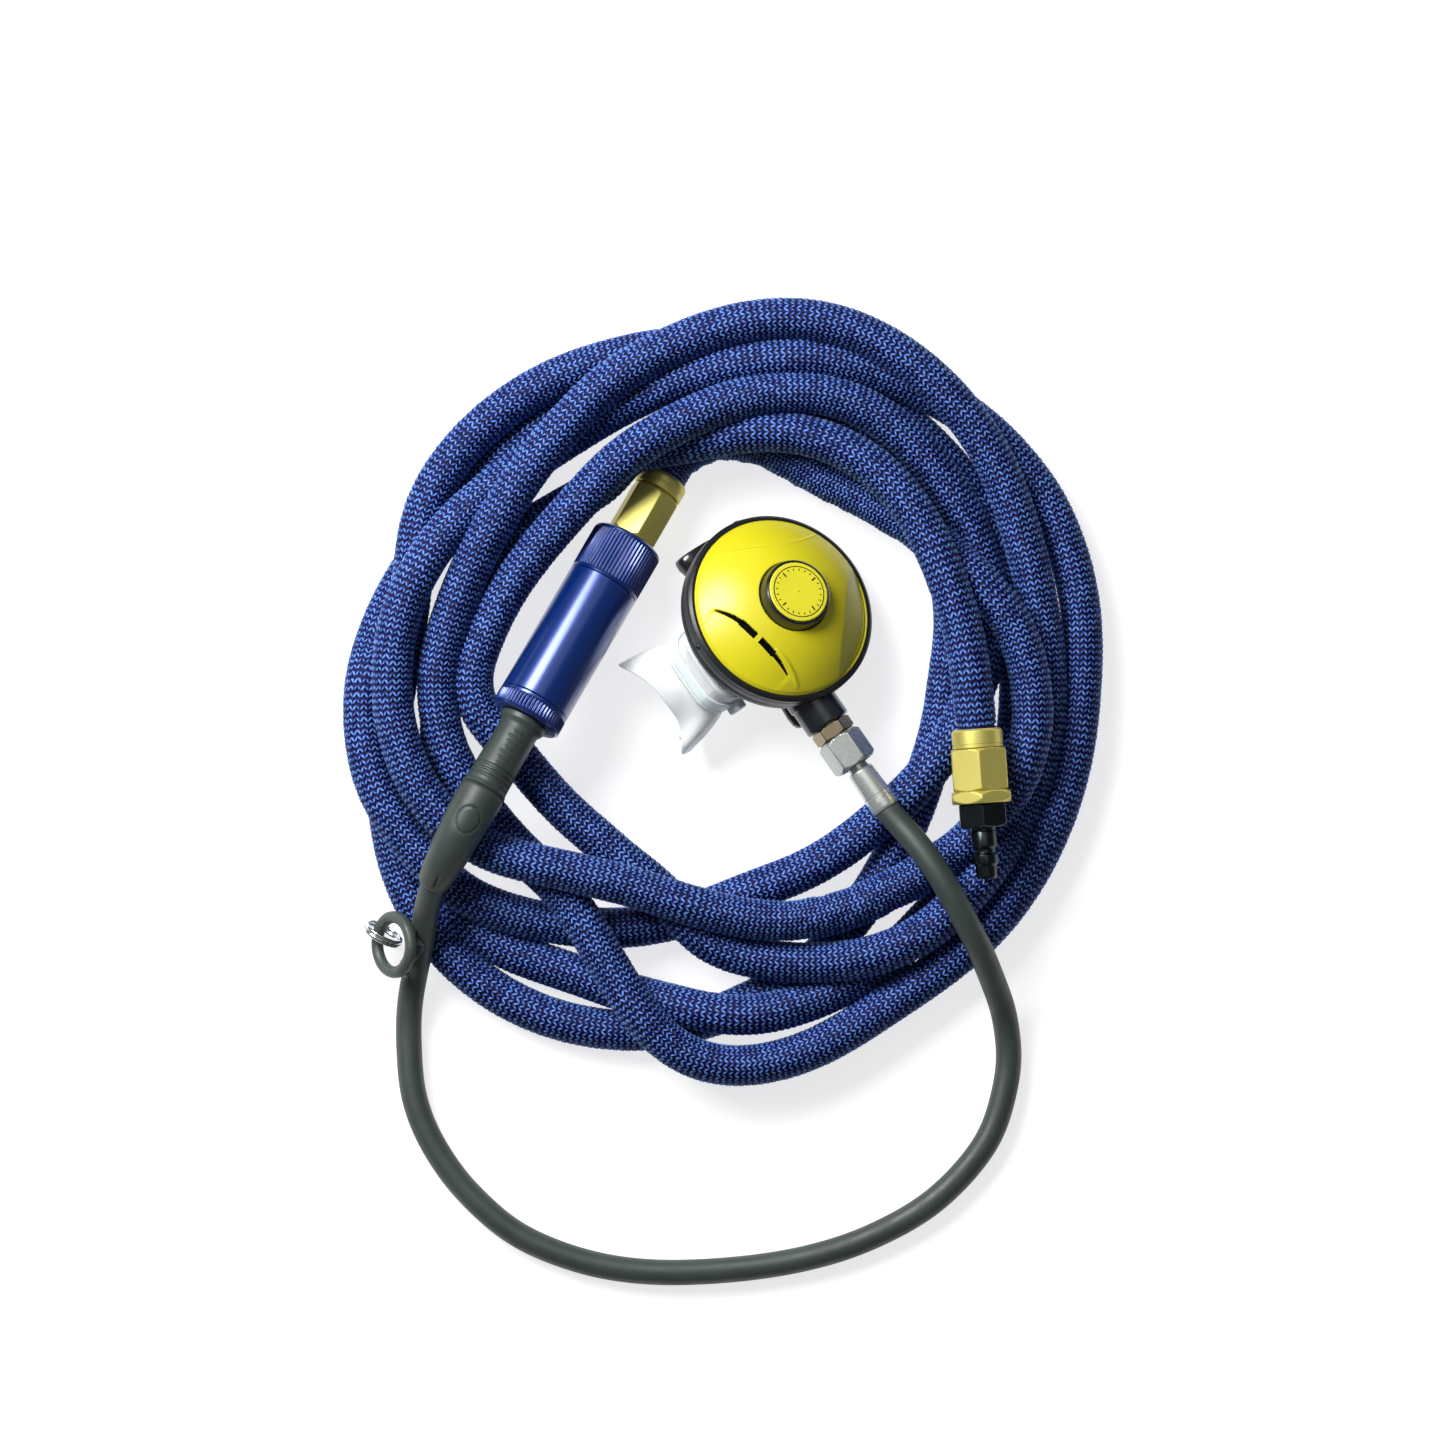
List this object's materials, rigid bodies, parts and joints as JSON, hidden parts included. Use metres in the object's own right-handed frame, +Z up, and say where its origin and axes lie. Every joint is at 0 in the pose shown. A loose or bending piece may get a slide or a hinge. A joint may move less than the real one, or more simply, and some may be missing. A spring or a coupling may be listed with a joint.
{
  "type": "scuba regulator set",
  "caption": "Demand valve with purge button and mouthpiece, low-pressure hose, in-line filter housing, and a coiled textile-covered supply hose ending in a quick-connect plug.",
  "frame": {"origin": "centre of the bottom of the box round the demand valve and filter housing, on the surface the set lies on", "axes": "+Z up from the surface; +X along the long side of that box, towards the hose end of the demand valve; +Y towards the brass end of the filter housing"},
  "size_m": [0.328, 0.416, 0.062],
  "materials": {
    "yellow_plastic": "moulded, semi-gloss",
    "label_yellow": "printed film, gloss",
    "black_plastic": "fine moulded texture",
    "spring_steel": "drawn wire",
    "silicone_clear": "translucent silicone",
    "plain_steel": "pressed steel",
    "chrome": "polished plating",
    "white_nylon": "moulded nylon",
    "nickel": "nickel-plated, turned",
    "silicone_white": "translucent white silicone",
    "rubber_black": "moulded rubber",
    "hose_rubber": "extruded, satin",
    "boot_rubber": "moulded, satin",
    "blue_anodised": "anodised, satin",
    "felt": "pressed felt",
    "carbon": "granular filter element",
    "brass": "machined, clean",
    "blue_textile": "braided textile cover",
    "dark_steel": "blackened steel"
  },
  "bodies": {
    "hose_set": {"hose_stem": "chrome", "stem_o_ring": "rubber_black", "ferrule": "chrome", "lp_hose": "hose_rubber", "boot_lower": "boot_rubber", "boot_upper": "boot_rubber", "hose_end_fitting": "nickel", "filter_body": "blue_anodised", "felt_pads": "felt", "filter_cartridge": "carbon", "filter_spring": "spring_steel", "brass_collar": "brass", "hose_lead_near": "blue_textile", "hose_coil": "blue_textile", "hose_lead_far": "blue_textile", "far_collar": "brass", "keeper_ring": "rubber_black"},
    "second_stage": {"front_cover": "yellow_plastic", "cover_ring": "black_plastic", "case_body": "black_plastic", "purge_guide": "black_plastic", "purge_spring": "spring_steel", "diaphragm": "silicone_clear", "valve_barrel": "chrome", "poppet_spring": "spring_steel", "inlet_fitting": "nickel", "exhaust_valve": "silicone_clear", "exhaust_tee": "black_plastic", "mouthpiece": "silicone_white", "mouthpiece_tie": "white_nylon"},
    "swivel_nut": {"swivel_nut": "chrome"},
    "purge_button": {"purge_button": "black_plastic", "purge_label_disc": "label_yellow"},
    "diaphragm_disc": {"diaphragm_disc": "plain_steel"},
    "demand_lever": {"demand_lever": "plain_steel"},
    "poppet": {"poppet": "white_nylon"},
    "filter_cap": {"filter_cap": "blue_anodised", "cap_o_ring": "rubber_black"},
    "filter_ring": {"filter_ring": "blue_anodised", "ring_o_ring": "rubber_black"},
    "near_adapter": {"brass_adapter": "brass"},
    "far_coupling": {"far_hex": "brass", "far_flange_nut": "brass", "quick_connect_plug": "dark_steel"},
    "split_ring": {"split_ring": "chrome"}
  },
  "joints": [
    {"name": "second_stage_swivel", "type": "hinge", "parent": "hose_set", "child": "second_stage", "pos_m": [0.0634, -0.04568, 0.03128], "axis": [0.5647, -0.822, 0.0742], "range_deg": [-8, 30]},
    {"name": "nut_spin", "type": "hinge", "parent": "second_stage", "child": "swivel_nut", "pos_m": [0.06397, -0.0465, 0.03136], "axis": [0.5647, -0.822, 0.0742], "continuous": true},
    {"name": "purge_press", "type": "slide", "parent": "second_stage", "child": "purge_button", "axis": [-0.3591, -0.3257, -0.8746], "range_m": [0, 0.003], "stiffness_N_per_m": 400, "springref_m": -0.002, "deforming": ["purge_spring"]},
    {"name": "diaphragm_slide", "type": "slide", "parent": "second_stage", "child": "diaphragm_disc", "axis": [-0.3591, -0.3257, -0.8746], "range_m": [0, 0.0031]},
    {"name": "lever_tilt", "type": "hinge", "parent": "second_stage", "child": "demand_lever", "pos_m": [0.02243, 0.02803, 0.02752], "axis": [0.7431, 0.4673, -0.4791], "range_deg": [0, 9.5]},
    {"name": "poppet_slide", "type": "slide", "parent": "second_stage", "child": "poppet", "axis": [-0.5647, 0.822, -0.0742], "range_m": [0, 0.001], "deforming": ["poppet_spring"]},
    {"name": "cap_turn", "type": "hinge", "parent": "hose_set", "child": "filter_cap", "pos_m": [-0.03367, 0.03308, 0.02339], "axis": [0.4851, 0.8403, -0.2419], "continuous": true},
    {"name": "ring_turn", "type": "hinge", "parent": "hose_set", "child": "filter_ring", "pos_m": [-0.07006, -0.02994, 0.04153], "axis": [0.4851, 0.8403, -0.2419], "continuous": true},
    {"name": "near_adapter_turn", "type": "hinge", "parent": "hose_set", "child": "near_adapter", "pos_m": [-0.02252, 0.05241, 0.01782], "axis": [0.4851, 0.8403, -0.2419], "continuous": true},
    {"name": "far_swivel", "type": "hinge", "parent": "hose_set", "child": "far_coupling", "pos_m": [0.11989, -0.05426, 0.0438], "axis": [0.0697, -0.9974, 0.0175], "continuous": true},
    {"name": "split_ring_swing", "type": "hinge", "parent": "hose_set", "child": "split_ring", "pos_m": [-0.13442, -0.1246, 0.01431], "axis": [0.2045, 0.9419, 0.2666], "range_deg": [-20, 20]}
  ],
  "couplings": [
    {"joint": "diaphragm_slide", "follows": "purge_press", "ratio": 1},
    {"joint": "lever_tilt", "follows": "purge_press", "rad_per_m": 54.1},
    {"joint": "poppet_slide", "follows": "purge_press", "ratio": 0.32}
  ]
}
